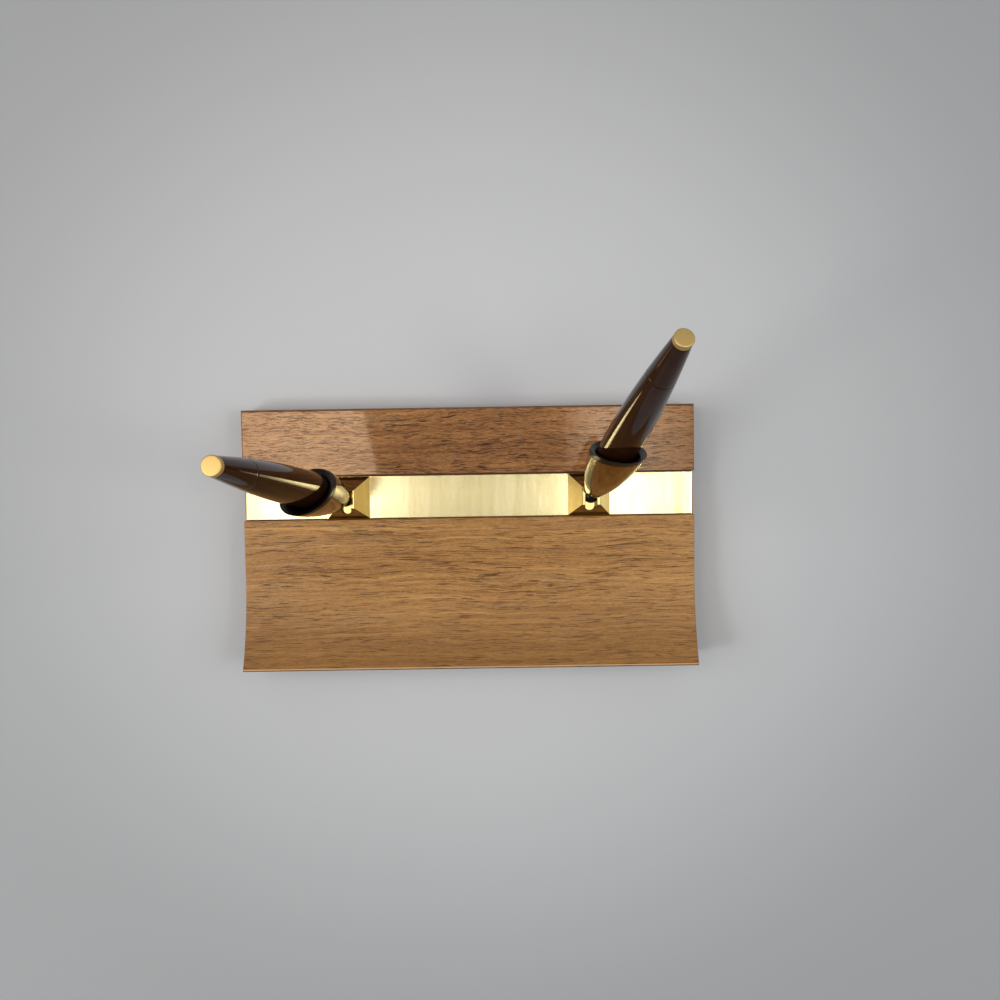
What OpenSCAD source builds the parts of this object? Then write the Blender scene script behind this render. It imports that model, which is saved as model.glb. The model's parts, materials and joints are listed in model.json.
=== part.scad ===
/* [Wood base] */
// Width of the wood base, left to right
base_w = 178; // [150:1:240]
// Depth of the wood base, front to back
base_d = 102; // [92:1:130]
// Thickness of the wood at its flat deck
deck_t = 14; // [12:0.5:24]
// Height of the front lip above the flat deck
lip_rise = 9.2; // [4:0.2:12]
// Flat deck left between the groove and the hollow that rises to the lip
cove_start = 23.5; // [18:0.5:28]
// Distance of the strip's centre line behind the middle of the base
strip_y = 16; // [8:0.5:22]
// Bevel along the long upper edges of the wood
edge_bevel = 0.6; // [0.2:0.1:1.5]

/* [Brass strip] */
// Width of the strip, front to back
strip_w = 17; // [17:0.2:24]
// Thickness of the strip
strip_t = 1.6; // [1:0.1:3]
// How far the strip's top lies below the deck
strip_sink = 1.2; // [0.2:0.1:2]
// How far each end of the strip stops short of the wood's side
strip_short = 0.8; // [0.2:0.1:4]
// Gap between the strip and each wall of its groove
strip_gap = 0.2; // [0.1:0.05:0.5]

/* [Pedestals] */
// Distance of each pedestal from the middle of the base
pedestal_x = 47.5; // [36:0.5:64]
// Side of the pedestal's square foot
pedestal_foot = 16.6; // [15.6:0.2:17]
// Side of the pedestal's square flat top
pedestal_top = 7; // [6.8:0.1:9]
// Height of the pedestal
pedestal_h = 11.4; // [11.2:0.2:14]
// Width of the slot in the front of the pedestal
slot_w = 4.6; // [3:0.1:4.8]
// Reach of the slot's round end in front of the pedestal's axis
slot_reach = 6; // [5:0.1:6.2]
// Height of the slot's flat floor above the strip
slot_floor = 4.6; // [4.2:0.1:5]

/* [Ball joint] */
// Diameter of the ball
ball_d = 6; // [5.6:0.1:6.2]
// Depth of the ball's centre below the pedestal's top
ball_depth = 2.3; // [2:0.1:2.6]
// Gap between the ball and its seats
ball_gap = 0.05; // [0.02:0.01:0.1]
// Diameter of the hole that the neck passes through
neck_hole_d = 4.8; // [4.4:0.1:5]
// Diameter of the neck above the ball
neck_d = 2.2; // [1.6:0.1:2.4]
// Diameter of the stud's shank, which the trumpet turns on
shank_d = 3; // [2.6:0.1:3.4]
// Distance of the shank's top from the ball's centre
shank_top = 7.8; // [7:0.1:8.4]
// Height of the friction cup
cup_h = 2.4; // [2:0.1:2.8]
// Wall of each disc spring
disc_t = 0.3; // [0.2:0.05:0.4]
// Rise of each disc spring's cone
disc_rise = 0.4; // [0.2:0.05:0.45]
// Hole through each disc spring
disc_hole_d = 2.4; // [1.6:0.1:3.2]

/* [Mounting screws] */
// Diameter of the screw's thread
screw_d = 8; // [7:0.1:8.2]
// Diameter of the screw's head
screw_head_d = 14; // [12:0.5:15]
// Height of the screw's head
screw_head_h = 4.4; // [3:0.1:5]
// Diameter of the washer
washer_d = 18; // [16:0.5:20]
// Thickness of the washer
washer_t = 1.2; // [0.8:0.1:2]
// Width of the driver slot in the head
driver_slot_w = 1.8; // [1:0.1:2.4]
// Depth of the driver slot in the head
driver_slot_depth = 1.8; // [1:0.1:2.4]
// Radial clearance of the screw in the wood and the strip
screw_clearance = 0.3; // [0.1:0.05:0.6]
// Gap between the screw's head and the felt
head_gap = 0.6; // [0.2:0.1:1]

/* [Felt pad] */
// Thickness of the felt under the base
felt_t = 1.2; // [0.8:0.1:3]
// Margin of the felt inside the wood's outline
felt_margin = 3; // [1:0.5:8]

/* [Trumpets] */
// Radius of the trumpet's closed lower end
horn_end_r = 2.6; // [2.2:0.1:3]
// Radius of the trumpet at the top of its tall side
horn_mouth_r = 9.5; // [9.2:0.1:10.6]
// Distance of the trumpet's lower end from the ball's centre
horn_start = 4.5; // [4.3:0.1:4.8]
// Distance of the top of the tall side from the ball's centre
horn_top = 60.5; // [58:0.5:64]
// Fullness of the trumpet's curve, where a smaller number swells sooner
horn_fullness = 0.8; // [0.65:0.05:0.9]
// Wall of the trumpet
horn_wall = 0.7; // [0.5:0.05:0.9]
// Distance of the middle of the mouth from the ball's centre
mouth_at = 45.8; // [44:0.2:47]
// Slant of the mouth
mouth_slant = 53; // [44:1:54]
// Height of the liner's lip above the trumpet's mouth
lip_h = 3.4; // [1:0.2:4]
// Gap between the trumpet and its liner
liner_gap = 0.05; // [0.02:0.01:0.1]
// Radius of the liner's funnel where the slanted mouth is highest
funnel_r = 8.2; // [7.8:0.1:8.3]
// Distance from the ball's centre where the funnel opens from the pen's seat
funnel_from = 33; // [30:1:36]
// Gap below the pen's point in the liner
floor_gap = 0.9; // [0.5:0.1:1]

/* [Pens] */
// Length of each pen from point to end button
pen_len = 121.5; // [114:0.5:140]
// Distance of the pen's point from the ball's centre
pen_from = 10.5; // [10.2:0.1:12]
// Radius of the pen where it is thickest
pen_r_max = 6.5; // [6:0.1:6.8]
// Distance from the point to the thickest place
pen_widest = 39.5; // [38:0.5:44]
// Radius of the pen at its end
pen_r_end = 2.9; // [2.6:0.1:3.4]
// Fall of the long taper, where 1 is a straight cone
pen_taper = 2; // [1:0.1:2.4]
// Length of the writing point that shows below the grip
point_show = 2.5; // [1.5:0.5:3]
// Radius of the grip's lower end
grip_end_r = 1.6; // [1.5:0.1:1.8]
// Length of the grip
grip_len = 27; // [20:1:30]
// Length of the tail piece between the barrel and the button
tail_len = 20.5; // [16:0.5:34]
// Height of the end button's rim
button_h = 2; // [1:0.2:3]
// Radius of the refill's tube
refill_r = 1.5; // [1.4:0.05:1.6]
// Radius of the writing point's tip
point_tip_r = 0.35; // [0.2:0.05:0.6]
// How much slimmer the writing point is than the refill
point_step = 0.4; // [0.3:0.05:0.6]
// Length of the writing point that the grip holds
point_neck = 2.5; // [1.5:0.5:4]
// Length of each screwed spigot inside the pen
spigot_len = 6; // [4:0.5:7]
// Wall of the grip's spigot round the barrel's bore
grip_spigot_wall = 1.2; // [0.8:0.1:1.4]
// Wall of the tail's spigot round the barrel's bore
tail_spigot_wall = 0.6; // [0.4:0.1:1]
// Radial clearance of the refill in the barrel
refill_clearance = 0.5; // [0.3:0.05:0.6]
// Radius of the end button's stem
button_stem_r = 1.2; // [0.8:0.1:1.6]
// Length of the end button's stem
button_stem_len = 4; // [3:0.5:6]
// Gap round each spigot and round the refill
pen_gap = 0.05; // [0.02:0.01:0.1]
// Gap between the pen and its seat in the liner
seat_gap = 0.35; // [0.3:0.05:0.5]

/* [How the pens stand] */
// Lean of the left pen from upright
left_lean = 9.4; // [0:0.1:24]
// Direction in which the left pen leans, from +X towards +Y
left_turn = 130; // [0:0.5:360]
// Turn of the left trumpet about its own axis
left_twist = 145; // [-180:1:180]
// Lean of the right pen from upright
right_lean = 22.3; // [0:0.1:24]
// Direction in which the right pen leans, from +X towards +Y
right_turn = 73.5; // [0:0.5:360]
// Turn of the right trumpet about its own axis
right_twist = -160; // [-180:1:180]

/* [Hidden] */
$fn = 48;

// Sides of the set
left = -1;
right = 1;
sides = [left, right];

// Heights from the desk up
wood_z = felt_t;
deck_z = wood_z + deck_t;
strip_top = deck_z - strip_sink;
strip_bottom = strip_top - strip_t;
ball_z = strip_top + pedestal_h - ball_depth;

// Wood base
groove_w = strip_w + 2 * strip_gap;
front_y = -base_d / 2;
back_y = base_d / 2;
cove_y = strip_y - groove_w / 2 - cove_start;
cove_run = cove_y - front_y;
cove_r = (cove_run * cove_run + lip_rise * lip_rise) / (2 * lip_rise);
through = 1;

// Ball joint, in heights above the strip
ball_r = ball_d / 2;
ball_up = pedestal_h - ball_depth;
cup_from = ball_up - ball_r - cup_h / 2 + ball_gap;
disc_stack = 2 * (disc_t + disc_rise);
screw_reach = cup_from - disc_stack - ball_gap;
joint_bore_r = ball_r + ball_gap;
shank_from = horn_start - ball_gap * 10;

// Screws
screw_r = screw_d / 2;
screw_hole_r = screw_r + screw_clearance;
counterbore_r = washer_d / 2 + screw_clearance;
counterbore_top = wood_z + head_gap + screw_head_h + washer_t;

// Pens, measured from the ball's centre along the pen
pen_end = pen_from + pen_len;
button_from = pen_end - button_h;
tail_from = button_from - tail_len;
grip_from = pen_from + point_show;
barrel_from = grip_from + grip_len;
widest_at = pen_from + pen_widest;
point_r = refill_r - point_step;
refill_from = grip_from + point_neck;
refill_to = tail_from - spigot_len - pen_gap;
barrel_bore_r = refill_r + refill_clearance;
tail_spigot_r = barrel_bore_r + tail_spigot_wall;
grip_spigot_r = barrel_bore_r + grip_spigot_wall;

// Trumpet and liner
liner_from = horn_start + horn_wall + liner_gap;
liner_floor = pen_from - floor_gap;
seat_from_r = grip_end_r + seat_gap;
curve_steps = 12;
nose_steps = 8;
big = 60;

// Lean, direction and twist of one side's trumpet and pen
function lean(side) = side == left ? left_lean : right_lean;
function turn(side) = side == left ? left_turn : right_turn;
function twist(side) = side == left ? left_twist : right_twist;

// Share of the trumpet's length below a distance from the ball's centre
function horn_share(m) = min(max(m - horn_start, 0) / (horn_top - horn_start), 1);

// Outside radius of the trumpet: a quarter sine that swells from its lower end and runs straight at the mouth
function horn_r(m) = horn_end_r
    + (horn_mouth_r - horn_end_r) * sin(90 * pow(horn_share(m), horn_fullness));

// Radius of the pen at a distance from the ball's centre: a quarter sine, then a long taper
function pen_r(m) = m < widest_at
    ? grip_end_r + (pen_r_max - grip_end_r) * sin(90 * (m - grip_from) / (widest_at - grip_from))
    : pen_r_max - (pen_r_max - pen_r_end) * pow((m - widest_at) / (button_from - widest_at), pen_taper);

// Evenly spaced distances from a to b
function steps(a, b, n) = [for (i = [0:n]) a + (b - a) * i / n];

// Steps that crowd together near a, where the trumpet curves most
function crowded(a, b, n) = [for (i = [0:n]) a + (b - a) * pow(i / n, 2)];

module at_pedestal(side) {
    translate([side * pedestal_x, strip_y, strip_top]) children();
}

// Local frame of one trumpet: origin at the ball's centre, +Z along the pen, +X to the tall side
module along_pen(side) {
    translate([side * pedestal_x, strip_y, ball_z])
        rotate([0, 0, turn(side)])
            rotate([0, lean(side), 0])
                rotate([0, 0, twist(side)])
                    children();
}

// Turned solid between two distances, outside radius from a list of [radius, distance] points
module turned(outline) {
    rotate_extrude() polygon(concat([[0, outline[0][1]]], outline, [[0, outline[len(outline) - 1][1]]]));
}

// Everything above the slanted mouth, raised by a distance
module above_mouth(raise) {
    translate([0, 0, mouth_at + raise])
        rotate([0, -mouth_slant, 0])
            translate([-big, -big, 0])
                cube(2 * big);
}

// Square pyramid with its tip cut off
module cut_pyramid(foot, top, h) {
    intersection_for (quarter = [0, 90])
        rotate([0, 0, quarter])
            rotate([90, 0, 0])
                linear_extrude(height = foot, center = true)
                    polygon([[-foot / 2, 0], [foot / 2, 0], [top / 2, h], [-top / 2, h]]);
}

// Solid walnut, with a groove for the strip and a hollow that rises to the front lip
module base_block() {
    color("saddlebrown")
        difference() {
            translate([-base_w / 2, front_y, wood_z]) cube([base_w, base_d, deck_t + lip_rise]);
            translate([-base_w / 2 - through, cove_y, deck_z])
                cube([base_w + 2 * through, base_d, lip_rise + through]);
            translate([0, cove_y, deck_z + cove_r])
                rotate([0, 90, 0])
                    cylinder(r = cove_r, h = base_w + 2 * through, center = true, $fn = 180);
            translate([-base_w / 2 - through, strip_y - groove_w / 2, strip_bottom])
                cube([base_w + 2 * through, groove_w, strip_t + strip_sink + through]);
            edge_bevels();
            for (side = sides) translate([side * pedestal_x, strip_y, 0]) {
                cylinder(r = screw_hole_r, h = strip_bottom + through);
                cylinder(r = counterbore_r, h = counterbore_top);
            }
        }
}

// Small bevels on the wood's back edge and front lip
module edge_bevels() {
    bevel_side = edge_bevel * sqrt(2);
    for (edge = [[back_y, deck_z], [front_y, deck_z + lip_rise]])
        translate([0, edge[0], edge[1]])
            rotate([45, 0, 0])
                cube([base_w + 2 * through, bevel_side, bevel_side], center = true);
}

// Brass strip let into the groove, drilled for the screws
module brass_strip() {
    color("gold")
        difference() {
            translate([-base_w / 2 + strip_short, strip_y - strip_w / 2, strip_bottom])
                cube([base_w - 2 * strip_short, strip_w, strip_t]);
            for (side = sides) translate([side * pedestal_x, strip_y, 0])
                cylinder(r = screw_hole_r, h = strip_top + through);
        }
}

// Felt glued under the wood
module felt_pad() {
    color("darkolivegreen")
        translate([-base_w / 2 + felt_margin, front_y + felt_margin, 0])
            cube([base_w - 2 * felt_margin, base_d - 2 * felt_margin, felt_t]);
}

// Screws from below that hold the pedestals and press on the disc springs
module mount_screws() {
    color("silver")
        for (side = sides) translate([side * pedestal_x, strip_y, 0])
            difference() {
                union() {
                    translate([0, 0, wood_z + head_gap]) cylinder(d = screw_head_d, h = screw_head_h);
                    translate([0, 0, wood_z + head_gap + screw_head_h - through])
                        cylinder(r = screw_r - ball_gap,
                                 h = strip_top + screw_reach - wood_z - head_gap - screw_head_h + through);
                }
                translate([-screw_head_d, -driver_slot_w / 2, 0])
                    cube([2 * screw_head_d, driver_slot_w, wood_z + head_gap + driver_slot_depth]);
            }
}

module mount_washers() {
    color("silver")
        for (side = sides) translate([side * pedestal_x, strip_y, wood_z + head_gap + screw_head_h])
            difference() {
                cylinder(d = washer_d, h = washer_t);
                translate([0, 0, -through]) cylinder(r = screw_hole_r, h = washer_t + 2 * through);
            }
}

// Coned spring washers, set edge to edge, that press each friction cup against its ball
module disc_springs() {
    color("dimgray")
        for (side = sides) at_pedestal(side)
            translate([0, 0, screw_reach]) {
                disc_spring();
                translate([0, 0, disc_stack]) mirror([0, 0, 1]) disc_spring();
            }
}

module disc_spring() {
    inner = disc_hole_d / 2;
    outer = joint_bore_r - 4 * ball_gap;
    rotate_extrude()
        polygon([[outer, 0], [outer, disc_t], [inner, disc_t + disc_rise], [inner, disc_rise]]);
}

// Brass pedestal: the ball is held from above by the lip round the neck's hole
module pedestal(side) {
    color("gold")
        at_pedestal(side)
            difference() {
                cut_pyramid(pedestal_foot, pedestal_top, pedestal_h);
                translate([0, 0, -through]) cylinder(d = screw_d, h = through + screw_reach);
                translate([0, 0, -through]) cylinder(r = joint_bore_r, h = through + ball_up);
                translate([0, 0, ball_up]) {
                    sphere(r = joint_bore_r);
                    cylinder(d = neck_hole_d, h = pedestal_h);
                }
                pedestal_slot();
            }
}

// Slot with a round end and a flat floor, open through the front face
module pedestal_slot() {
    translate([0, 0, slot_floor])
        linear_extrude(height = pedestal_h) {
            translate([0, -slot_reach + slot_w / 2]) circle(d = slot_w);
            translate([-slot_w / 2, -slot_reach + slot_w / 2]) square([slot_w, slot_reach - slot_w / 2]);
        }
}

// Nylon cup that turns in the pedestal and grips the ball from below
module friction_cup(side) {
    color("black")
        at_pedestal(side)
            difference() {
                translate([0, 0, cup_from]) cylinder(r = ball_r, h = cup_h);
                translate([0, 0, ball_up]) sphere(r = joint_bore_r);
                cylinder(d = disc_hole_d, h = pedestal_h);
            }
}

// Ball, neck and shank in one piece
module ball_stud(side) {
    color("dimgray")
        along_pen(side) {
            sphere(r = ball_r);
            cylinder(d = neck_d, h = shank_from + through / 2);
            translate([0, 0, shank_from]) cylinder(d = shank_d, h = shank_top - shank_from);
        }
}

// Brass trumpet: a thin turned shell with a slanted mouth
module horn(side) {
    inner_from = horn_start + horn_wall;
    color("gold")
        along_pen(side)
            difference() {
                turned([for (m = crowded(horn_start, horn_top, curve_steps)) [horn_r(m), m]]);
                turned([for (m = crowded(inner_from, horn_top + through, curve_steps)) [horn_r(m) - horn_wall, m]]);
                cylinder(d = shank_d + 2 * ball_gap, h = inner_from + through);
                above_mouth(0);
            }
}

// Black liner: fills the trumpet, seats the pen and stands proud of the mouth as a lip
module liner(side) {
    liner_top = horn_top + 2 * lip_h;
    shell = horn_wall + liner_gap;
    color("black")
        along_pen(side)
            difference() {
                union() {
                    turned([for (m = crowded(liner_from, liner_top, curve_steps)) [horn_r(m) - shell, m]]);
                    intersection() {
                        turned([for (m = crowded(horn_start, liner_top, curve_steps)) [horn_r(m), m]]);
                        above_mouth(liner_gap);
                    }
                }
                above_mouth(lip_h);
                liner_bore(liner_top + through);
                cylinder(d = shank_d + 2 * ball_gap, h = shank_top + 4 * ball_gap);
            }
}

// Seat that follows the pen's nose, then the open funnel
module liner_bore(top) {
    seat = [for (m = steps(grip_from, funnel_from, nose_steps)) [pen_r(m) + seat_gap, m]];
    rise = (funnel_r - pen_r(funnel_from) - seat_gap) / (horn_top - funnel_from);
    turned(concat([[seat_from_r, liner_floor]], seat,
                  [[funnel_r, horn_top], [funnel_r + rise * (top - horn_top), top]]));
}

// Brass point that shows below the grip
module pen_point(side) {
    color("goldenrod")
        along_pen(side)
            turned([[point_tip_r, pen_from], [point_r, grip_from], [point_r, refill_from]]);
}

module pen_refill(side) {
    color("silver")
        along_pen(side)
            translate([0, 0, refill_from]) cylinder(r = refill_r, h = refill_to - refill_from);
}

// Grip with a screwed spigot that goes up into the barrel
module pen_grip(side) {
    outline = [for (m = steps(grip_from, barrel_from, nose_steps)) [pen_r(m), m]];
    color("black")
        along_pen(side)
            difference() {
                union() {
                    turned(outline);
                    translate([0, 0, barrel_from - through]) cylinder(r = grip_spigot_r, h = spigot_len + through);
                }
                translate([0, 0, pen_from]) cylinder(r = point_r + pen_gap, h = pen_len);
                translate([0, 0, refill_from]) cylinder(r = refill_r + pen_gap, h = pen_len);
            }
}

// Long tapered barrel, bored for the refill and for the spigots at both ends
module pen_barrel(side) {
    nose = [for (m = steps(barrel_from, widest_at, nose_steps)) [pen_r(m), m]];
    taper = [for (m = steps(widest_at, tail_from, curve_steps)) if (m > widest_at) [pen_r(m), m]];
    color([0.16, 0.09, 0.06])
        along_pen(side)
            difference() {
                turned(concat(nose, taper));
                translate([0, 0, pen_from]) cylinder(r = barrel_bore_r, h = pen_len);
                translate([0, 0, barrel_from - through])
                    cylinder(r = grip_spigot_r + pen_gap, h = spigot_len + through + pen_gap);
                translate([0, 0, tail_from - spigot_len - pen_gap])
                    cylinder(r = tail_spigot_r + pen_gap, h = spigot_len + through + pen_gap);
            }
}

// Tail with a spigot that goes down into the barrel
module pen_tail(side) {
    color([0.16, 0.09, 0.06])
        along_pen(side)
            difference() {
                union() {
                    turned([for (m = steps(tail_from, button_from, nose_steps)) [pen_r(m), m]]);
                    translate([0, 0, tail_from - spigot_len]) cylinder(r = tail_spigot_r, h = spigot_len + through);
                }
                translate([0, 0, button_from - button_stem_len - pen_gap])
                    cylinder(r = button_stem_r + pen_gap, h = button_stem_len + through);
            }
}

// Flat gold end button on a stem that is pressed into the tail
module pen_button(side) {
    color("gold")
        along_pen(side) {
            translate([0, 0, button_from]) cylinder(r = pen_r_end, h = button_h);
            translate([0, 0, button_from - button_stem_len]) cylinder(r = button_stem_r, h = button_stem_len + pen_gap);
        }
}

base_block();
brass_strip();
felt_pad();
mount_screws();
mount_washers();
disc_springs();
pedestal(left);  // left_pedestal
friction_cup(left);  // left_friction_cup
ball_stud(left);  // left_ball_stud
horn(left);  // left_horn
liner(left);  // left_liner
pen_point(left);  // left_pen_point
pen_refill(left);  // left_pen_refill
pen_grip(left);  // left_pen_grip
pen_barrel(left);  // left_pen_barrel
pen_tail(left);  // left_pen_tail
pen_button(left);  // left_pen_button
pedestal(right);  // right_pedestal
friction_cup(right);  // right_friction_cup
ball_stud(right);  // right_ball_stud
horn(right);  // right_horn
liner(right);  // right_liner
pen_point(right);  // right_pen_point
pen_refill(right);  // right_pen_refill
pen_grip(right);  // right_pen_grip
pen_barrel(right);  // right_pen_barrel
pen_tail(right);  // right_pen_tail
pen_button(right);  // right_pen_button
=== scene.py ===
"""Desk pen set: a walnut base with a brass strip, and two pens in swivelling brass trumpets.

Lengths are in millimetres until a mesh is filled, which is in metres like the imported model.
"""
import json
import math

import bmesh
import bpy
import numpy as np
from mathutils import Matrix


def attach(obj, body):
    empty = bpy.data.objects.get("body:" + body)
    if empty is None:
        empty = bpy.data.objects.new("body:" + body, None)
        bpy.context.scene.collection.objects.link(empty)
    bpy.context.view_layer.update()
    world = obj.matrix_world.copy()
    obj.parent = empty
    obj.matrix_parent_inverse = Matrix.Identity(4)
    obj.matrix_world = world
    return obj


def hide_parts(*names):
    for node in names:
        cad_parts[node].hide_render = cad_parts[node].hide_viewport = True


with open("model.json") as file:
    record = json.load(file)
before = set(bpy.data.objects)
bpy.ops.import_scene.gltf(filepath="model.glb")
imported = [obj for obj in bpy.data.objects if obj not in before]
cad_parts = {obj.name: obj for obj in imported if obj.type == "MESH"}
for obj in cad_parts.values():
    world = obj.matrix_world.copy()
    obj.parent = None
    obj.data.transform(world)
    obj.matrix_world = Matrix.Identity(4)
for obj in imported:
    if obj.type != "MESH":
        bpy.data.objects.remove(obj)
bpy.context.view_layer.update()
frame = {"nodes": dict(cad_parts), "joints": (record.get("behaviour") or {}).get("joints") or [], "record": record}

MM = 0.001
SIDES = ("left", "right")
QUARTER = 0.5 * math.pi
ROUND = 96  # points round a turned piece
MERGE = 0.0005  # points closer than this become one
SHARP = math.radians(32.0)  # edges that bend more than this stay sharp
FIT = 0.05  # clearance between pieces that slide into each other

# Wood base, strip and felt
BASE_W, BASE_D = 178.0, 102.0
WOOD_Z, DECK_Z, LIP_Z = 1.2, 15.2, 24.4
GROOVE_BACK, GROOVE_FRONT, GROOVE_Z = 24.7, 7.3, 12.4
COVE_Y, COVE_R = -16.2, 70.417
STRIP_BACK, STRIP_FRONT, STRIP_Z, STRIP_HALF = 24.5, 7.5, 14.0, 88.2
FELT_HALF_W, FELT_HALF_D = 86.0, 48.0

# How far the rounding of their edges reaches from the corner
FOOT_EASE, BACK_EASE, GROOVE_EASE, LIP_EASE, WOOD_END_EASE = 0.5, 0.7, 0.35, 0.9, 0.16
STRIP_EASE, STRIP_END_EASE, FELT_EASE, FELT_END_EASE = 0.3, 0.12, 0.4, 0.18

# Tone of the wood's edges, row by row: above 0 rubbed pale, partly wear and partly a painted
# highlight; below 0 painted shade with some dark wear, and dull
LIP_TONES = (0.0, 0.9, 0.5, -0.8, -1.0, -1.0, -1.0, -0.6)
END_TONES = (0.0, -1.0, -0.9, -0.5, -0.1, 0.0, 0.0)
# The back edge and the groove's back edge only darken: painted shade, and beside the strip a painted shadow
BACK_TONE, GROOVE_TONE = -0.6, -1.0

# Pedestals: width of the bevel, and which edges get it
BEVEL_W, BEVEL_MIN_LENGTH, BEVEL_MIN_ANGLE = 0.14, 2.0, 0.4

# Trumpets and their liners, as distances from the ball's centre along the pen
HORN_END_R, HORN_MOUTH_R, HORN_START, HORN_TOP, HORN_FULLNESS = 2.6, 9.5, 4.5, 60.5, 0.8
HORN_WALL, MOUTH_AT, LIP_H, LINER_GAP = 0.7, 45.8, 3.4, 0.05
SLANT = math.tan(math.radians(53.0))
FUNNEL_R, FUNNEL_FROM, SEAT_GAP = 8.2, 33.0, 0.35
TWIST = {"left": 145.0, "right": -160.0}

# Ball studs and pens, in the same distances
BALL_R, NECK_R, SHANK_R, SHANK_FROM, SHANK_TOP = 3.0, 1.1, 1.5, 4.0, 7.8
POINT_FROM, GRIP_FROM, BARREL_FROM, TAIL_FROM = 10.5, 13.0, 40.0, 109.5
BUTTON_FROM, PEN_END = 130.0, 132.0
PEN_R_MAX, PEN_R_END, WIDEST_AT, GRIP_END_R = 6.5, 2.9, 50.0, 1.6
POINT_R, POINT_DEEP, TIP_R, TIP_H = 1.1, 2.5, 0.35, 0.05
REFILL_R, BORE_R, GRIP_SPIGOT_R, TAIL_SPIGOT_R, SPIGOT = 1.5, 2.0, 3.2, 2.6, 6.0
STEM_R, STEM_DEEP = 1.2, 4.0
GRIP_EASE, SEAM_EASE, SPIGOT_EASE = 0.12, 0.08, 0.2


# --- shader maths ---

class Wire:
    """A shader socket that arithmetic works on: each operation adds a Math node to its finish."""

    def __init__(self, finish, socket):
        self.finish, self.socket = finish, socket

    def maths(self, operation, first, second):
        return self.finish.node("Math", {"operation": operation}, {0: first, 1: second})

    def __add__(self, other):
        return self.maths("ADD", self, other)

    def __sub__(self, other):
        return self.maths("SUBTRACT", self, other)

    def __rsub__(self, other):
        return self.maths("SUBTRACT", other, self)

    def __mul__(self, other):
        return self.maths("MULTIPLY", self, other)

    def __pow__(self, other):
        return self.maths("POWER", self, other)

    __radd__ = __add__
    __rmul__ = __mul__


class Finish:
    """One procedural material or dome: constants are set on its shader's own sockets."""

    def __init__(self, name, shader="Principled BSDF", home=None, **constants):
        self.material = home or bpy.data.materials.new(name)
        self.material.use_nodes = True
        self.nodes, self.links = self.material.node_tree.nodes, self.material.node_tree.links
        self.shader = self.nodes[shader]
        for socket, value in constants.items():
            self.shader.inputs[socket.replace("_", " ")].default_value = value

    def node(self, kind, settings=None, sockets=None, output=0):
        """Add a node of a kind, set its settings, then fill or link its sockets.

        Gives one output, by its name or number.
        """
        made = self.nodes.new("ShaderNode" + kind)
        for name, value in (settings or {}).items():
            if name == "stops":
                first, last = made.color_ramp.elements
                first.position, first.color = value[0]
                last.position, last.color = value[-1]
                for place, colour in value[1:-1]:
                    made.color_ramp.elements.new(place).color = colour
            else:
                setattr(made, name, value)
        for name, value in (sockets or {}).items():
            if isinstance(value, Wire):
                self.links.new(value.socket, made.inputs[name])
            else:
                made.inputs[name].default_value = value
        return Wire(self, made.outputs[output])

    def place(self):
        """Object coordinates in millimetres, as three values."""
        spot = self.node("TexCoord", output="Object")
        scaled = self.node("VectorMath", {"operation": "SCALE"}, {0: spot, "Scale": 1.0 / MM})
        return [self.node("SeparateXYZ", None, {0: scaled}, axis) for axis in "XYZ"]

    def noise(self, x, y, z, detail=2.0, roughness=0.5):
        """Smooth noise at a point whose coordinates are already divided by their grain sizes."""
        spot = self.node("CombineXYZ", None, {0: x, 1: y, 2: z})
        return self.node("TexNoise", None, {
            "Vector": spot, "Scale": 1.0, "Detail": detail, "Roughness": roughness})

    def rise(self, value, low, high, to_low=0.0, to_high=1.0):
        """Smooth step from to_low to to_high while the value goes from low to high."""
        return self.node("MapRange", {"interpolation_type": "SMOOTHSTEP"}, {
            "Value": value, "From Min": low, "From Max": high,
            "To Min": to_low, "To Max": to_high})

    def ramp(self, value, stops):
        """Colour ramp through (place, colour) stops."""
        full = [(place, (*colour, 1.0)) for place, colour in stops]
        return self.node("ValToRGB", {"stops": full}, {0: value})

    def mix(self, factor, first, second):
        """Mix two colours, either of which may be three numbers; 6, 7 and 2 are colour sockets."""
        first, second = ((*c, 1.0) if isinstance(c, tuple) else c for c in (first, second))
        return self.node("Mix", {"data_type": "RGBA"}, {0: factor, 6: first, 7: second}, 2)

    def bump(self, height, depth):
        """Normal bent by a height of 0 to 1 that stands for a depth in millimetres."""
        return self.node("Bump", None, {"Height": height, "Distance": depth * MM})

    def feed(self, **wires):
        """Link what varies to the shader's sockets, and give the material."""
        for socket, wire in wires.items():
            self.links.new(wire.socket, self.shader.inputs[socket.replace("_", " ")])
        return self.material


# --- finishes; a number beside x, y or z is how many grains go to a millimetre ---

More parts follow.
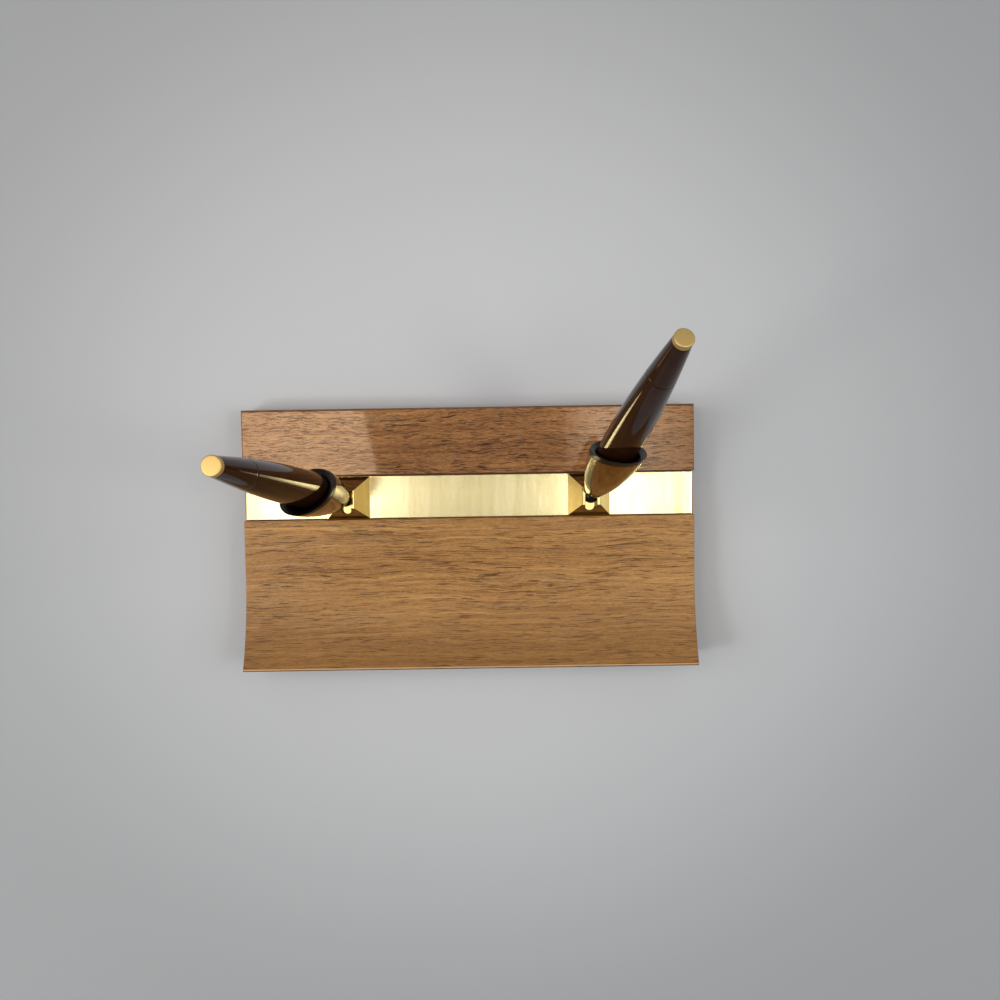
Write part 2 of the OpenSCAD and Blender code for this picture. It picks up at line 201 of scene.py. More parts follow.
def walnut():
    """Walnut: fine streaks and short dark pores along X, which wander a little.

    Behind the strip it is redder and lacquered, and its normal leans to the back by about six
    degrees, which only the shine shows. Towards the front lip it is darkened by painted shade of
    the rising hollow. The edge_tone attribute rubs edges pale, partly wear and partly a painted
    highlight, or darkens them with painted shade and some dark wear.
    """
    honey = [(0.28, (0.23, 0.098, 0.019)), (0.5, (0.365, 0.178, 0.042)),
             (0.72, (0.54, 0.30, 0.09))]
    russet = [(0.28, (0.155, 0.058, 0.019)), (0.5, (0.285, 0.126, 0.044)),
              (0.72, (0.43, 0.212, 0.083))]
    dusty, umber = (0.30, 0.19, 0.10), (0.15, 0.06, 0.014)
    pale_fleck, dark_fleck = (0.62, 0.40, 0.16), (0.14, 0.055, 0.012)
    front_pore, back_pore = (0.075, 0.024, 0.001), (0.025, 0.006, 0.001)
    # Last three: painted shade towards the front lip, a pale edge of wear and painted highlight, a dark edge of
    # dirt and painted shade
    hollow, rubbed_and_highlight, soiled_and_shade = (0.12, 0.048, 0.010), (0.62, 0.40, 0.21), (0.035, 0.014, 0.007)
    oiled, lacquered = 0.42, 0.045
    pore_deep, lean = 0.02, 5.25  # the lean is in pore depths for each millimetre

    wood = Finish("walnut", IOR=1.45)
    x, y, z = wood.place()
    bold = wood.rise(y, 8.0, 20.0)
    wander = wood.noise(x * 0.018, y * 0.05, z * 0.05, 2.0) - 0.5
    ripple = wood.noise(x * 0.09, y * 0.12, z * 0.12) - 0.5
    across = y + wander * 7.0 + ripple * bold * 2.6
    streak = wood.noise(x * 0.012, across * 0.8, z * 0.8, 6.0, 0.65)
    broad = wood.noise(x * 0.004, across * 0.07, z * 0.07, 2.0)
    cluster = wood.noise(x * 0.03, across * 0.12, z * 0.12, 2.0)
    pore = wood.noise(x * 0.13 + wander * 2.0, across * 3.4, z * 3.4, 1.0)
    tick = wood.noise(x * 0.2 + wander * 2.0, across * 3.8, z * 3.8, 1.0)
    fleck = wood.noise(x * 0.7, across * 4.5, z * 4.5, 3.0, 0.7)
    hair = wood.noise(x * 0.12, across * 5.0, z * 5.0, 2.0)
    veil = wood.noise(x * 0.02, across * 0.2, z * 0.2, 3.0)

    light = wood.ramp(streak + broad * 0.5 - 0.25, honey)
    red = wood.ramp(streak * 0.9 + broad * 0.4 - 0.15, russet)
    colour = wood.mix(bold, light, red)
    colour = wood.mix(wood.rise(veil, 0.5, 0.75) * 0.3, colour, dusty)
    colour = wood.mix(wood.rise(hair, 0.5, 0.65) * 0.4, colour, umber)
    colour = wood.mix(wood.rise(fleck, 0.5, 0.72) * 0.45, colour, pale_fleck)
    colour = wood.mix(wood.rise(fleck, 0.5, 0.28) * 0.4, colour, dark_fleck)
    dash = wood.rise(pore + (tick - pore) * bold + cluster * 0.3 + bold * 0.015, 0.75, 0.785)
    colour = wood.mix(dash * 0.9, colour, wood.mix(bold, front_pore, back_pore))
    # Painted shade: the wood darkens towards the front lip, where the hollow rises and turns from the light
    colour = wood.mix(wood.rise(y, -12.0, -49.0) * 0.5, colour, hollow)

    tone = wood.node("Attribute", {"attribute_name": "edge_tone"}, None, "Fac")
    # Pale edges are partly rubbed wear and partly a painted highlight; dark edges are painted shade with some
    # dirt, and duller
    colour = wood.mix(wood.rise(tone, 0.1, 0.9) * 0.75, colour, rubbed_and_highlight)
    shade_and_dull_edge = wood.rise(tone * -1.0, 0.1, 0.9)
    colour = wood.mix(shade_and_dull_edge * 0.85, colour, soiled_and_shade)
    behind = y.maths("MAXIMUM", y - GROOVE_BACK, 0.0)
    return wood.feed(Base_Color=colour,
                     Roughness=wood.rise(y, 6.0, 24.0, oiled, lacquered) + shade_and_dull_edge * 0.5,
                     Normal=wood.bump(1.0 - dash - behind * lean, pore_deep))


def satin_brass():
    """Brushed pale brass: fine lines from front to back, soft bands and small dull specks."""
    pale = [(0.37, (0.79, 0.66, 0.33)), (0.63, (0.95, 0.83, 0.48))]
    dull = (0.52, 0.43, 0.21)
    brass = Finish("satin_brass", Metallic=1.0)
    x, y, z = brass.place()
    line = brass.noise(x * 5.0, y * 0.08, z * 0.3, 3.0)
    band = brass.noise(x * 0.3, y * 0.03, z * 0.1, 2.0)
    cloud = brass.noise(x * 0.09, y * 0.15, z * 0.2, 3.0)
    speck = brass.rise(brass.noise(x * 1.1, y * 1.1, z * 1.1, 1.0), 0.70, 0.76)
    grit = brass.noise(x * 2.4, y * 2.4, z * 2.4, 2.0)
    colour = brass.ramp(line * 0.25 + band * 0.5 + grit * 0.25, pale)
    return brass.feed(Base_Color=brass.mix(speck * 0.5, colour, dull),
                      Roughness=0.08 + band * 0.08 + line * 0.08 + cloud * 0.05,
                      Normal=brass.bump(line * 0.6 + band * 0.4, 0.012))


def polished_brass():
    """Polished brass with hairline scratches and faint finger marks."""
    deep = [(0.3, (0.245, 0.178, 0.066)), (0.7, (0.295, 0.222, 0.087))]
    brass = Finish("polished_brass", Metallic=1.0)
    x, y, z = brass.place()
    scratch = brass.noise(x * 0.6 + y * 2.0, y * 0.6 - z * 3.0, z * 1.4, 3.0)
    smudge = brass.noise(x * 0.16, y * 0.16, z * 0.16, 3.0, 0.6)
    marks = brass.rise(smudge, 0.45, 0.75) * 0.07
    lines = brass.rise(scratch, 0.6, 0.75) * 0.08
    return brass.feed(Base_Color=brass.ramp(smudge, deep), Roughness=0.045 + marks + lines,
                      Normal=brass.bump(scratch, 0.004))


def satin_gold():
    """Satin gold end: a fine even grain with tiny dark specks."""
    yellow, dark = [(0.3, (0.57, 0.41, 0.155)), (0.7, (0.67, 0.50, 0.21))], (0.42, 0.27, 0.09)
    gold = Finish("satin_gold", Metallic=1.0)
    x, y, z = gold.place()
    grain = gold.noise(x * 4.0, y * 4.0, z * 4.0, 3.0, 0.6)
    speck = gold.rise(gold.noise(x * 2.6, y * 2.6, z * 2.6, 1.0), 0.66, 0.74)
    return gold.feed(Base_Color=gold.mix(speck * 0.5, gold.ramp(grain, yellow), dark),
                     Roughness=0.44 + grain * 0.16, Normal=gold.bump(grain, 0.012))


def pen_plastic():
    """Deep brown gloss: nearly black, with slow colour drift and faint rub marks."""
    brown = [(0.3, (0.018, 0.0055, 0.002)), (0.7, (0.031, 0.0105, 0.004))]
    gloss = Finish("pen_plastic", IOR=1.22)
    x, y, z = gloss.place()
    drift = gloss.noise(x * 0.06, y * 0.06, z * 0.06, 2.0)
    rub = gloss.noise(x * 0.5, y * 0.5, z * 0.12, 4.0, 0.6)
    return gloss.feed(Base_Color=gloss.ramp(drift, brown),
                      Roughness=0.06 + gloss.rise(rub, 0.5, 0.8) * 0.08)


def black_plastic():
    """Moulded black plastic with a fine soft texture."""
    soot = [(0.35, (0.005, 0.0036, 0.003)), (0.75, (0.011, 0.008, 0.007))]
    black = Finish("black_plastic", Specular_IOR_Level=0.12)
    x, y, z = black.place()
    grain = black.noise(x * 2.5, y * 2.5, z * 2.5, 3.0)
    wear = black.noise(x * 0.25, y * 0.25, z * 0.25, 3.0)
    return black.feed(Base_Color=black.ramp(wear, soot),
                      Roughness=0.26 + wear * 0.12 + grain * 0.06,
                      Normal=black.bump(grain, 0.004))


def felt():
    """Dark green felt: matted fibres in two sizes, with pale stray hairs."""
    green, stray = [(0.3, (0.012, 0.022, 0.014)), (0.7, (0.03, 0.05, 0.032))], (0.075, 0.1, 0.07)
    cloth = Finish("felt", Roughness=0.95, Sheen_Weight=0.35, Sheen_Roughness=0.5)
    x, y, z = cloth.place()
    mat = cloth.noise(x * 1.1, y * 1.1, z * 1.1, 6.0, 0.7)
    hair = cloth.noise(x * 3.0 + y * 1.5, y * 0.8, z * 2.0, 4.0, 0.6)
    colour = cloth.mix(cloth.rise(hair, 0.62, 0.75) * 0.35, cloth.ramp(mat, green), stray)
    return cloth.feed(Base_Color=colour, Normal=cloth.bump(mat * 0.6 + hair * 0.4, 0.25))


def turned_metal(name, low, high, shine, metal=1.0):
    """Machined metal or nylon: turning marks, slow tarnish and a little uneven shine."""
    part = Finish(name, Metallic=metal)
    x, y, z = part.place()
    mark = part.noise(x * 0.4, y * 0.4, z * 7.0, 2.0)
    tarnish = part.noise(x * 0.5, y * 0.5, z * 0.5, 4.0, 0.6)
    return part.feed(Base_Color=part.ramp(tarnish, [(0.3, low), (0.7, high)]),
                     Roughness=shine + tarnish * 0.12 + mark * 0.06,
                     Normal=part.bump(mark, 0.006))


FINISHES = {
    "walnut": walnut(),
    "satin_brass": satin_brass(),
    "polished_brass": polished_brass(),
    "satin_gold": satin_gold(),
    "pen_plastic": pen_plastic(),
    "black_plastic": black_plastic(),
    "felt": felt(),
    "steel": turned_metal("steel", (0.42, 0.42, 0.43), (0.6, 0.6, 0.6), 0.22),
    "black_steel": turned_metal(
        "black_steel", (0.02, 0.019, 0.018), (0.05, 0.047, 0.045), 0.24),
    # The nylon cup's pale gold is partly its own colour and partly a painted reflection of the sky in the slot
    "nylon": turned_metal("nylon", (0.80, 0.67, 0.40), (0.88, 0.76, 0.50), 0.36, metal=0.0),
}


# --- surfaces ---

def skin(name, grid, body, nodes, slot, loop=False, ends=False, tones=None):
    """Mesh over a grid of points (rows, columns, xyz): columns close round, rows too with loop.

    With ends the first and last rows are filled with one face each; rows at a pole are merged
    to a point. Tones, one for each point, become the edge_tone attribute.
    """
    rows, columns = grid.shape[:2]
    here = np.arange(rows * columns).reshape(rows, columns)
    beside = np.roll(here, -1, axis=1)
    quads = np.stack([here, beside, np.roll(beside, -1, axis=0), np.roll(here, -1, axis=0)],
                     axis=-1)
    faces = (quads if loop else quads[:-1]).reshape(-1, 4).tolist()
    if ends:
        faces += [here[0, ::-1].tolist(), here[-1].tolist()]
    mesh = bpy.data.meshes.new(name)
    mesh.from_pydata((grid.reshape(-1, 3) * MM).tolist(), [], faces)
    if tones is not None:
        edge_tone = mesh.attributes.new("edge_tone", "FLOAT", "POINT")
        edge_tone.data.foreach_set("value", tones.reshape(-1))
    return finish_piece(mesh, body, nodes, slot)


def finish_piece(mesh, body, nodes, slot):
    """Merge doubled points, turn faces outwards, shade smooth between sharp edges.

    The piece then gets its finish and is handed to its body.
    """
    shape = bmesh.new()
    shape.from_mesh(mesh)
    bmesh.ops.remove_doubles(shape, verts=shape.verts, dist=MERGE * MM)
    bmesh.ops.dissolve_degenerate(shape, edges=shape.edges, dist=MERGE * MM)
    bmesh.ops.recalc_face_normals(shape, faces=shape.faces)
    shape.to_mesh(mesh)
    shape.free()
    mesh.shade_smooth()
    mesh.set_sharp_from_angle(angle=SHARP)
    piece = bpy.data.objects.new(mesh.name, mesh)
    bpy.context.scene.collection.objects.link(piece)
    mesh.materials.append(FINISHES[slot])
    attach(piece, body)
    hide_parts(*nodes)
    return piece


def eased(corners, closed=False, steps=5, hold=1.0):
    """Flat outline through (u, v, ease) corners, each rounded by a parabola.

    The parabola starts and ends its ease away from the corner. With hold above 1 it has one more
    point before and after it, so that the flats beside it stay flat. The ends of an open outline
    stay as they are.
    """
    corners = np.asarray(corners, float)
    corners, sizes = corners[:, :2], corners[:, 2].copy()
    if not closed:
        sizes[[0, -1]] = 0.0
    before, after = (np.roll(corners, shift, axis=0) - corners for shift in (1, -1))
    before /= np.linalg.norm(before, axis=1, keepdims=True)
    after /= np.linalg.norm(after, axis=1, keepdims=True)
    t = np.linspace(0.0, 1.0, steps)
    back, on = (1 - t) ** 2, t ** 2
    if hold > 1.0:
        back, on = np.concatenate([[hold], back, [0.0]]), np.concatenate([[0.0], on, [hold]])
    way = back[:, None] * before[:, None] + on[:, None] * after[:, None]
    curve = corners[:, None] + sizes[:, None, None] * way
    first = np.arange(len(corners) * len(on)) % len(on) == 0
    return curve.reshape(-1, 2)[np.repeat(sizes > 0, len(on)) | first]


def angles():
    """Even angles round the pen's axis, one for each column of a turned surface."""
    return np.arange(ROUND) * (2.0 * math.pi / ROUND)


def pen_frame(side):
    """Turn and ball centre of one side.

    Lean and direction come from its twist joint, then comes the trumpet's own turn.
    """
    joint = next(j for j in frame["joints"] if j["name"] == side + "_twist")
    ax, ay, az = joint["axis"]
    heading, lean = math.atan2(ay, ax), math.atan2(math.hypot(ax, ay), az)
    turn = (Matrix.Rotation(heading, 3, "Z") @ Matrix.Rotation(lean, 3, "Y")
            @ Matrix.Rotation(math.radians(TWIST[side]), 3, "Z"))
    return np.array(turn), np.array(joint["pos_m"]) / MM


def stand(side, bands):
    """Bands of (radius, distance along the pen) stacked and carried to where the side stands.

    Radius and distance are each a number, a value for each angle, or rows of either.
    """
    ring = np.ones((1, ROUND))
    rows = [np.broadcast_arrays(*np.atleast_2d(radius, along), ring)[:2]
            for radius, along in bands]
    radius, along = (np.concatenate(part) for part in zip(*rows))
    local = np.stack([radius * np.cos(angles()), radius * np.sin(angles()), along], axis=-1)
    turn, ball = pen_frame(side)
    return local @ turn.T + ball


def turned_piece(side, part, outline, body, node, slot, loop=False):
    """Surface of revolution: each (radius, distance) point is a circle about the pen's axis."""
    outline = np.asarray(outline, float)
    grid = stand(side, [(outline[:, :1], outline[:, 1:])])
    skin(side + part, grid, side + body, [side + node], slot, loop=loop)


def horn_radius(m):
    """Outside radius of the trumpet: a quarter sine of a power of the distance from its end."""
    share = np.clip((m - HORN_START) / (HORN_TOP - HORN_START), 0.0, 1.0)
    return HORN_END_R + (HORN_MOUTH_R - HORN_END_R) * np.sin(QUARTER * share ** HORN_FULLNESS)


def pen_radius(m):
    """Radius of the pen: a quarter sine up to the thickest place, then a falling square."""
    share = np.sin(QUARTER * (m - GRIP_FROM) / (WIDEST_AT - GRIP_FROM))
    nose = GRIP_END_R + (PEN_R_MAX - GRIP_END_R) * share
    fall = np.maximum(m - WIDEST_AT, 0.0) / (BUTTON_FROM - WIDEST_AT)
    return np.where(m < WIDEST_AT, nose, PEN_R_MAX - (PEN_R_MAX - PEN_R_END) * fall ** 2)


def funnel_radius(m):
    """Straight cone from the pen's seat up to the liner's mouth."""
    seat = pen_radius(FUNNEL_FROM) + SEAT_GAP
    return seat + (FUNNEL_R - seat) * (m - FUNNEL_FROM) / (HORN_TOP - FUNNEL_FROM)


def slanted(radius, lift=0.0):
    """Height of the slanted mouth's plane over each angle at a radius, raised by a distance."""
    return MOUTH_AT + lift + radius * np.cos(angles()) * SLANT


def meeting(radius_at, lift=0.0):
    """Distance where a turned wall meets the slanted plane at each angle, by substitution."""
    m = np.full(ROUND, MOUTH_AT)
    for _ in range(40):
        m = slanted(radius_at(m), lift)
    return m


# --- wood, strip and felt ---

def along_x(outline, half, ease, steps=5):
    """Closed (y, z) outline carried along X; at each end it shrinks by a quarter circle.

    It shrinks along its normals. One more outline on either side of the quarter circle keeps the
    long faces and the end faces flat.
    """
    edge = np.roll(outline, -1, axis=0) - np.roll(outline, 1, axis=0)
    normal = np.stack([edge[:, 1], -edge[:, 0]], axis=1)
    normal /= np.linalg.norm(normal, axis=1, keepdims=True)
    a = np.linspace(0.0, QUARTER, steps)
    hold_long, hold_end = -2.0, 1.4
    shrink = ease * np.concatenate([[0.0], 1.0 - np.cos(a), [hold_end]])
    x = half - ease + ease * np.concatenate([[hold_long], np.sin(a), [1.0]])
    x, shrink = np.concatenate([-x[::-1], x]), np.concatenate([shrink[::-1], shrink])
    flat = outline[None] - normal[None] * shrink[:, None, None]
    return np.concatenate([np.broadcast_to(x[:, None, None], flat.shape[:2] + (1,)), flat], axis=2)


def walnut_base():
    """Side outline with the groove and the hollow, carried along X.

    The hollow is a circle's arc that rises to the front lip. The lip, the back edges and the
    ends get their tones: a painted highlight and painted shade, with some wear.
    """
    front, back = -BASE_D / 2, BASE_D / 2
    arc_y = np.linspace(COVE_Y, front, 40)[1:-1]
    arc_z = DECK_Z + COVE_R - np.sqrt(COVE_R ** 2 - (arc_y - COVE_Y) ** 2)
    outline = eased(np.concatenate([
        [(front, WOOD_Z, FOOT_EASE), (back, WOOD_Z, FOOT_EASE), (back, DECK_Z, BACK_EASE),
         (GROOVE_BACK, DECK_Z, GROOVE_EASE), (GROOVE_BACK, GROOVE_Z, 0.0),
         (GROOVE_FRONT, GROOVE_Z, 0.0), (GROOVE_FRONT, DECK_Z, GROOVE_EASE),
         (COVE_Y, DECK_Z, 0.0)],
        np.stack([arc_y, arc_z, np.zeros_like(arc_y)], axis=1),
        [(front, LIP_Z, LIP_EASE)]]), closed=True, steps=6, hold=1.3)
    side_tone = np.zeros(len(outline))
    side_tone[-len(LIP_TONES):] = LIP_TONES
    within = 1.03  # the rounding's own points, without those that hold the flats
    for y, ease, tone in ((back, BACK_EASE, BACK_TONE), (GROOVE_BACK, GROOVE_EASE, GROOVE_TONE)):
        side_tone[np.abs(outline - [y, DECK_Z]).sum(axis=1) < ease * within] = tone
    end_tone = np.concatenate([END_TONES, END_TONES[::-1]])[:, None]
    skin("walnut_base", along_x(outline, BASE_W / 2, WOOD_END_EASE), "base", ["base_block"],
         "walnut", ends=True, tones=np.where(end_tone < 0, end_tone, side_tone))


def flat_bar(name, front, back, low, high, ease, hold, half, end_ease, node, slot):
    """Rectangle with eased corners carried along X."""
    corners = [(front, low, ease), (back, low, ease), (back, high, ease), (front, high, ease)]
    grid = along_x(eased(corners, closed=True, hold=hold), half, end_ease)
    skin(name, grid, "base", [node], slot, ends=True)


# --- one side: pedestal, stud, trumpet and pen ---

def pedestal(side):
    """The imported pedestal's own mesh, merged, with its long edges broken by a small bevel."""
    name = side + "_pedestal"
    mesh = frame["nodes"][name].data.copy()
    mesh.name = name + "_cut"
    mesh.materials.clear()
    piece = finish_piece(mesh, "base", [name], "polished_brass")
    mesh.shade_flat()
    shape = bmesh.new()
    shape.from_mesh(mesh)
    broken = [edge.calc_length() > BEVEL_MIN_LENGTH * MM
              and edge.calc_face_angle(0.0) > BEVEL_MIN_ANGLE for edge in shape.edges]
    shape.free()
    weight = mesh.attributes.new("bevel_weight_edge", "FLOAT", "EDGE")
    weight.data.foreach_set("value", np.array(broken, float))
    bevel = piece.modifiers.new("broken_edge", "BEVEL")
    bevel.width, bevel.segments, bevel.limit_method = BEVEL_W * MM, 2, "WEIGHT"
    bevel.use_clamp_overlap = False


def ball_stud(side):
    """Ball, neck and shank in one turned outline: a circle's arc, then eased steps."""
    short, neck_from = 0.04, 0.95  # the arc stops just short of the neck
    a = np.linspace(-QUARTER, math.acos(NECK_R / BALL_R) - short, 28)
    ball = np.stack([BALL_R * np.cos(a), BALL_R * np.sin(a)], axis=1)
    neck = eased([(NECK_R, BALL_R * neck_from, 0.0), (NECK_R, SHANK_FROM, 0.1),
                  (SHANK_R, SHANK_FROM, 0.15), (SHANK_R, SHANK_TOP, 0.3), (0.0, SHANK_TOP, 0.0)])
    turned_piece(side, "_stud", np.concatenate([ball, neck]), "_stud", "_ball_stud",
                 "black_steel")


def trumpet(side):
    """Thin shell: outer wall up to the slanted mouth, softened rim, inner wall down, holed floor.

    Rows crowd towards the lower end, as squares of an even share.
    """
    soft, foot_in, foot_round, foot_up = 0.12, 0.3, 0.06, 0.25
    top = meeting(horn_radius)
    rim = horn_radius(top)
    inner_rim = rim - HORN_WALL
    hole = SHANK_R + FIT
    low, inner_low = HORN_START + foot_up, HORN_START + HORN_WALL
    share = np.linspace(0.0, 1.0, 44)[:, None] ** 2
    wall = low + (top - soft - low) * share
    inner = inner_low + (slanted(inner_rim) - soft - inner_low) * share[::-1]
    grid = stand(side, [
        (hole, HORN_START), (HORN_END_R - foot_in, HORN_START),
        (HORN_END_R - foot_round, HORN_START + foot_round),
        (horn_radius(wall), wall),
        (rim - soft, slanted(rim - soft)), (inner_rim + soft, slanted(inner_rim + soft)),
        (horn_radius(inner) - HORN_WALL, inner), (hole, inner_low)])
    skin(side + "_trumpet_shell", grid, side + "_trumpet", [side + "_horn"], "polished_brass",
         loop=True)


def trumpet_liner(side):
    """Black collar: fills the trumpet, laps over its rim as a lip, then a funnel and a seat.

    The lip's top is rounded outside by a quarter circle, and falls inside by a power of the way
    in, a bevel that leaves a thin edge. The funnel is a cone, and the seat follows the pen.
    """
    top_round, bevel_deep, bevel_power = 0.25, 1.8, 1.5
    wall_gap, lap_in, lap_up = 0.1, 0.15, 0.12
    shank_room, seat_step, point_room = 0.2, 1.0, 0.9
    shell, sleeve = HORN_WALL + LINER_GAP, SHANK_R + FIT
    socket_top, floor = SHANK_TOP + shank_room, POINT_FROM - point_room
    foot = HORN_START + shell
    rim = horn_radius(meeting(horn_radius))
    mouth = funnel_radius(meeting(funnel_radius, LIP_H))
    share = np.linspace(0.0, 1.0, 24)[:, None] ** 2
    wall = foot + (slanted(rim - shell) - wall_gap - foot) * share
    arc = np.linspace(0.0, QUARTER, 6)[:, None]
    lip_r = rim - top_round * (1 - np.cos(arc))
    lip_lift = LIP_H - top_round * (1 - np.sin(arc))
    inward = np.linspace(0.1, 1.0, 6)[:, None]
    deep_r = funnel_radius(slanted(mouth, LIP_H - bevel_deep))
    bevel_r = rim - top_round + (deep_r - rim + top_round) * inward
    bevel_lift = LIP_H - bevel_deep * inward ** bevel_power
    below = slanted(deep_r, LIP_H - bevel_deep)
    funnel = below + (FUNNEL_FROM - below) * np.linspace(0.05, 1.0, 20)[:, None]
    seat = np.linspace(FUNNEL_FROM - seat_step, GRIP_FROM, 18)[:, None]
    grid = stand(side, [
        (0.0, socket_top), (sleeve, socket_top), (sleeve, foot),
        (horn_radius(wall) - shell, wall),
        (rim - lap_in, slanted(rim - lap_in, LINER_GAP)),
        (rim, slanted(rim, LINER_GAP + lap_up)),
        (lip_r, slanted(lip_r, lip_lift)), (bevel_r, slanted(bevel_r, bevel_lift)),
        (funnel_radius(funnel), funnel), (pen_radius(seat) + SEAT_GAP, seat),
        (GRIP_END_R + SEAT_GAP, floor), (0.0, floor)])
    skin(side + "_trumpet_liner", grid, side + "_trumpet", [side + "_liner"], "black_plastic")


def pen_skin(low, high, count, ease):
    """Outside of a turned pen piece: its radius between two distances, with both ends eased."""
    m = np.linspace(low + ease, high - ease, count)
    body = np.stack([pen_radius(m), m], axis=1)
    near = 0.3 * ease
    first = [(pen_radius(low) - ease, low), (pen_radius(low) - near, low + near)]
    last = [(pen_radius(high) - near, high - near), (pen_radius(high) - ease, high)]
    return np.concatenate([first, body, last])


def pen(side):
    """Grip, barrel, tail, end button and point: outlines turned about the pen's axis.

    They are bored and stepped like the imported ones.
    """
    point_top, spigot_top = GRIP_FROM + POINT_DEEP, BARREL_FROM + SPIGOT
    spigot_low, stem_low = TAIL_FROM - SPIGOT, BUTTON_FROM - STEM_DEEP
    point_hole, refill_hole, stem_hole = POINT_R + FIT, REFILL_R + FIT, STEM_R + FIT
    grip_hole, tail_hole = GRIP_SPIGOT_R + FIT, TAIL_SPIGOT_R + FIT
    grip = np.concatenate([
        pen_skin(GRIP_FROM, BARREL_FROM, 40, GRIP_EASE),
        eased([(GRIP_SPIGOT_R, BARREL_FROM, 0.0), (GRIP_SPIGOT_R, spigot_top, SPIGOT_EASE),
               (refill_hole, spigot_top, SPIGOT_EASE), (refill_hole, point_top, 0.0),
               (point_hole, point_top, 0.0), (point_hole, GRIP_FROM, 0.0)])])
    barrel = np.concatenate([
        pen_skin(BARREL_FROM, TAIL_FROM, 90, SEAM_EASE),
        [(tail_hole, TAIL_FROM), (tail_hole, spigot_low - FIT), (BORE_R, spigot_low - FIT),
         (BORE_R, spigot_top + FIT), (grip_hole, spigot_top + FIT), (grip_hole, BARREL_FROM)]])
    tail = np.concatenate([
        eased([(0.0, spigot_low, 0.0), (TAIL_SPIGOT_R, spigot_low, SPIGOT_EASE),
               (TAIL_SPIGOT_R, TAIL_FROM, 0.0)]),
        pen_skin(TAIL_FROM, BUTTON_FROM, 50, SEAM_EASE),
        [(stem_hole, BUTTON_FROM), (stem_hole, stem_low - FIT), (0.0, stem_low - FIT)]])
    button = eased([(0.0, stem_low, 0.0), (STEM_R, stem_low, 0.2), (STEM_R, BUTTON_FROM, 0.1),
                    (PEN_R_END, BUTTON_FROM, 0.12), (PEN_R_END, PEN_END, 0.45),
                    (0.0, PEN_END, 0.0)])
    point = eased([(0.0, POINT_FROM, 0.0), (TIP_R, POINT_FROM + TIP_H, 0.15),
                   (POINT_R, GRIP_FROM, 0.5), (POINT_R, point_top, 0.1), (0.0, point_top, 0.0)])
    turned_piece(side, "_grip", grip, "_pen", "_pen_grip", "pen_plastic", loop=True)
    turned_piece(side, "_barrel", barrel, "_pen", "_pen_barrel", "pen_plastic", loop=True)
    turned_piece(side, "_tail", tail, "_pen", "_pen_tail", "pen_plastic")
    turned_piece(side, "_end_button", button, "_pen", "_pen_button", "satin_gold")
    turned_piece(side, "_writing_point", point, "_pen", "_pen_point", "steel")


# --- stage, lamps and camera ---

def pale_floor():
    """Wide pale floor with a barely uneven tone, darkened away from the object by a painted falloff of light."""
    near_tone = [(0.3, (0.51, 0.547, 0.60)), (0.7, (0.535, 0.572, 0.625))]
    painted_dim_floor = (0.345, 0.37, 0.405)
    middle_x, middle_y, fall_from, fall_to = 12.7, 30.0, 60.0, 265.0
    paper = Finish("pale_floor", Roughness=0.9, Specular_IOR_Level=0.2)
    x, y, z = paper.place()
    cloud = paper.noise(x * 0.004, y * 0.004, z * 0.004, 3.0)
    off_x, off_y = x - middle_x, y - middle_y
    away = (off_x * off_x + off_y * off_y) ** 0.5
    # Painted shade: the floor's colour darkens away from the object, as the light falls off
    painted_falloff = paper.rise(away, fall_from, fall_to)
    material = paper.feed(Base_Color=paper.mix(painted_falloff, paper.ramp(cloud, near_tone), painted_dim_floor))
    reach = 4.0
    mesh = bpy.data.meshes.new("floor")
    mesh.from_pydata([(-reach, -reach, 0), (reach, -reach, 0), (reach, reach, 0),
                      (-reach, reach, 0)], [], [(0, 1, 2, 3)])
    mesh.materials.append(material)
    floor = bpy.data.objects.new("floor", mesh)
    bpy.context.scene.collection.objects.link(floor)


def panel(name, spot, wide, deep, radiance, colour=(1.0, 1.0, 1.0), tilt=0.0, turn=0.0):
    """Flat soft lamp, tilted from facing down; its power is radiance times pi times area."""
    lamp = bpy.data.lights.new(name, "AREA")
    lamp.shape, lamp.size, lamp.size_y = "RECTANGLE", wide * MM, deep * MM
    lamp.energy = radiance * math.pi * wide * deep * MM * MM
    lamp.color = colour
    holder = bpy.data.objects.new(name, lamp)
    holder.location = [value * MM for value in spot]
    holder.rotation_euler = (0.0, math.radians(tilt), math.radians(turn))
    bpy.context.scene.collection.objects.link(holder)


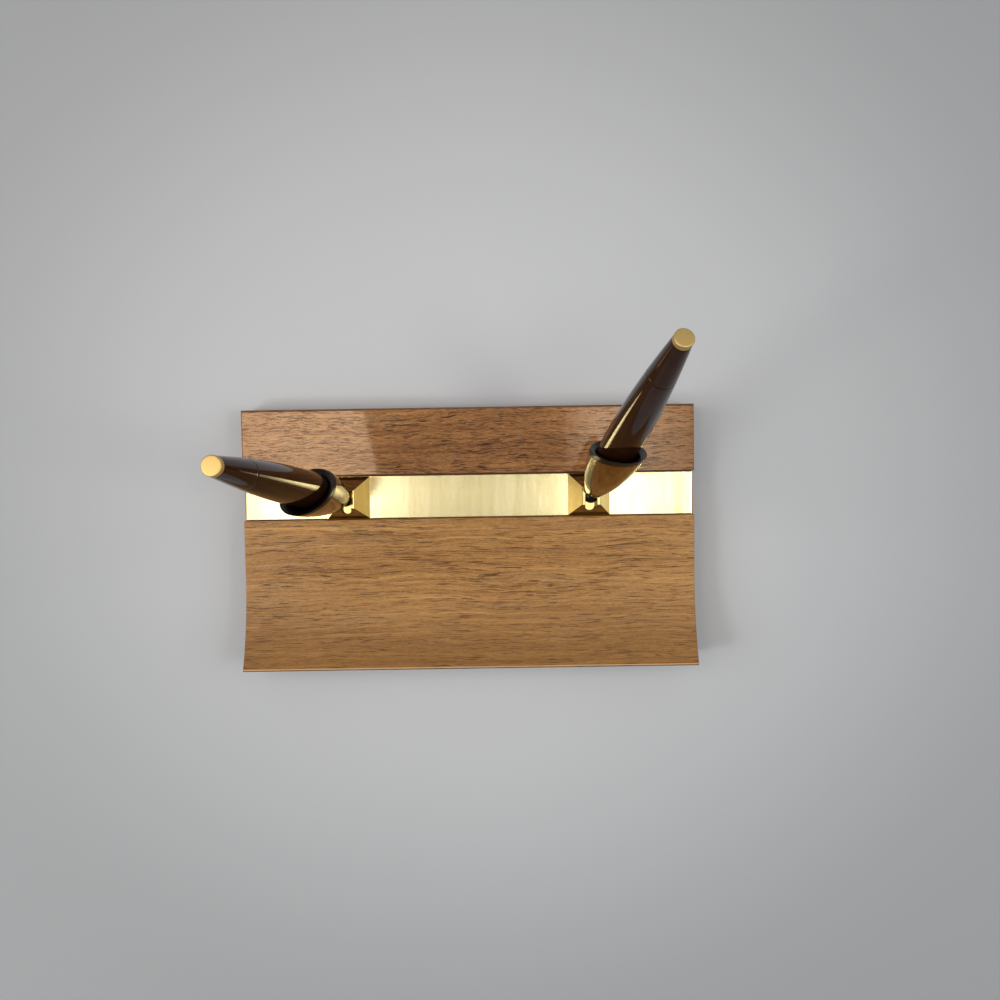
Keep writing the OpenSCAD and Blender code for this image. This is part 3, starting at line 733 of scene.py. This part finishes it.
def soft_light():
    """Flat panels overhead, behind, in front and at both sides, and a low dome.

    The panel behind on the right is cut in slices, whose level climbs from its left edge and
    sinks to its right edge. The dome is brighter behind and a little darker overhead.
    """
    amber, warm, cream = (1.0, 0.72, 0.48), (1.0, 0.82, 0.62), (1.0, 0.93, 0.80)
    panel("over_left", (-176.0, -18.0, 615.0), 118.0, 56.0, 5.5)
    panel("over_middle", (-12.0, -18.0, 622.0), 214.0, 56.0, 0.83)
    panel("over_right", (131.0, -18.0, 615.0), 82.0, 56.0, 4.8)
    panel("back_left", (-190.5, 152.0, 630.0), 143.0, 160.0, 6.9, amber, turn=12.0)
    slices, slice_wide, first_x, full = 10, 13.0, 86.0, 4.6
    left_edge, climb, right_edge, sink = 74.0, 32.0, 228.0, 80.0
    for k in range(slices):
        x = first_x + slice_wide * k
        level = full * min(1.0, (x - left_edge) / climb, (right_edge - x) / sink)
        panel("back_right_%d" % k, (x, 168.0, 630.0), slice_wide, 110.0, level, warm)
    panel("front_left", (-450.0, -150.0, 615.0), 210.0, 120.0, 15.0, cream)
    panel("front_right", (298.0, -8.0, 615.0), 108.0, 100.0, 17.0, cream)
    panel("side_left", (-860.0, 20.0, 830.0), 700.0, 700.0, 2.7, tilt=-46.0)
    panel("side_right", (860.0, 20.0, 830.0), 700.0, 700.0, 1.75, tilt=46.0)
    level, overhead, behind = 0.385, 0.08, 0.45
    world = bpy.data.worlds.new("soft_dome")
    bpy.context.scene.world = world
    dome = Finish("soft_dome", "Background", world, Color=(1.02, 0.975, 0.92, 1.0))
    way = dome.node("TexCoord", output="Generated")
    y, z = (dome.node("SeparateXYZ", None, {0: way}, axis) for axis in "YZ")
    dome.feed(Strength=(level - z * z * overhead) * (1.0 + y * behind))


def photo_camera():
    """Camera at the photograph's place, in metres and radians, looking almost straight down."""
    spot, pan, pitch, roll = (0.01322, 0.03809, 0.410), -0.0155, -0.0604, 0.0013
    lens = bpy.data.cameras.new("photo_camera")
    lens.sensor_width, lens.lens = 36.0, 36.06
    lens.clip_start, lens.clip_end = 0.01, 20.0
    camera = bpy.data.objects.new("photo_camera", lens)
    turn = (Matrix.Rotation(pan, 4, "Z") @ Matrix.Rotation(pitch, 4, "X")
            @ Matrix.Rotation(roll, 4, "Y"))
    camera.matrix_world = Matrix.Translation(spot) @ turn
    bpy.context.scene.collection.objects.link(camera)
    bpy.context.scene.camera = camera


photo_camera()
soft_light()
pale_floor()
walnut_base()
flat_bar("strip_inlay", STRIP_FRONT, STRIP_BACK, GROOVE_Z, STRIP_Z, STRIP_EASE, 1.4, STRIP_HALF,
         STRIP_END_EASE, "brass_strip", "satin_brass")
flat_bar("felt_sheet", -FELT_HALF_D, FELT_HALF_D, 0.0, WOOD_Z, FELT_EASE, 1.2, FELT_HALF_W,
         FELT_END_EASE, "felt_pad", "felt")
for side in SIDES:
    pedestal(side)
    ball_stud(side)
    trumpet(side)
    trumpet_liner(side)
    pen(side)

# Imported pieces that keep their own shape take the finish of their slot
for subpart in frame["record"]["subparts"]:
    packed = frame["nodes"][subpart["node"]].data
    packed.materials.clear()
    packed.materials.append(FINISHES[subpart["material_slot"]])

bpy.context.scene.view_settings.view_transform = "Standard"
